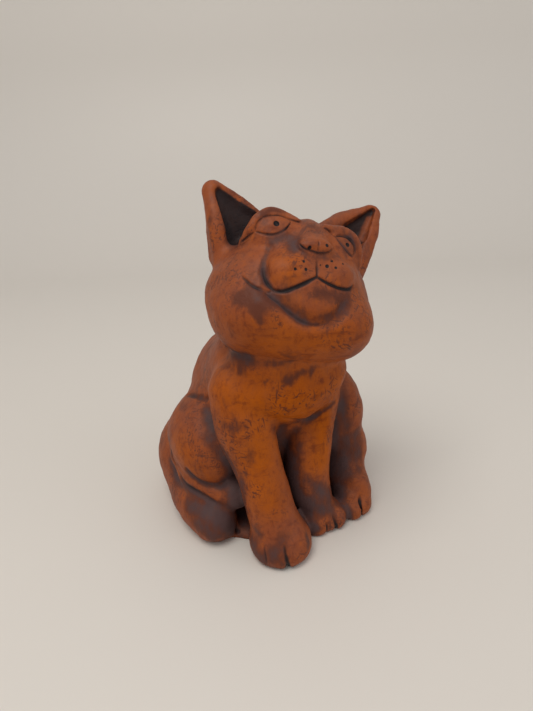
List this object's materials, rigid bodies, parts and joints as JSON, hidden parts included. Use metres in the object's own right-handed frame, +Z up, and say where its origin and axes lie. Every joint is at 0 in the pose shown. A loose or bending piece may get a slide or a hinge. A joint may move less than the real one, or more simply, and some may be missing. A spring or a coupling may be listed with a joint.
{
  "type": "terracotta cat sculpture",
  "caption": "Seated cat figure modelled in fired red clay, head raised and tilted to one side, standing by its own weight as an ornament.",
  "frame": {"origin": "on the underside, under the middle of the seated body, on the surface the cat stands on", "axes": "+Z up, -Y the way the chest faces, +X towards the cat's own left side"},
  "size_m": [0.158, 0.1617, 0.2326],
  "materials": {
    "clay": "fired red clay with a dark stain in the recesses and a soft waxy sheen"
  },
  "bodies": {
    "root": {"cat": "clay"}
  },
  "joints": []
}
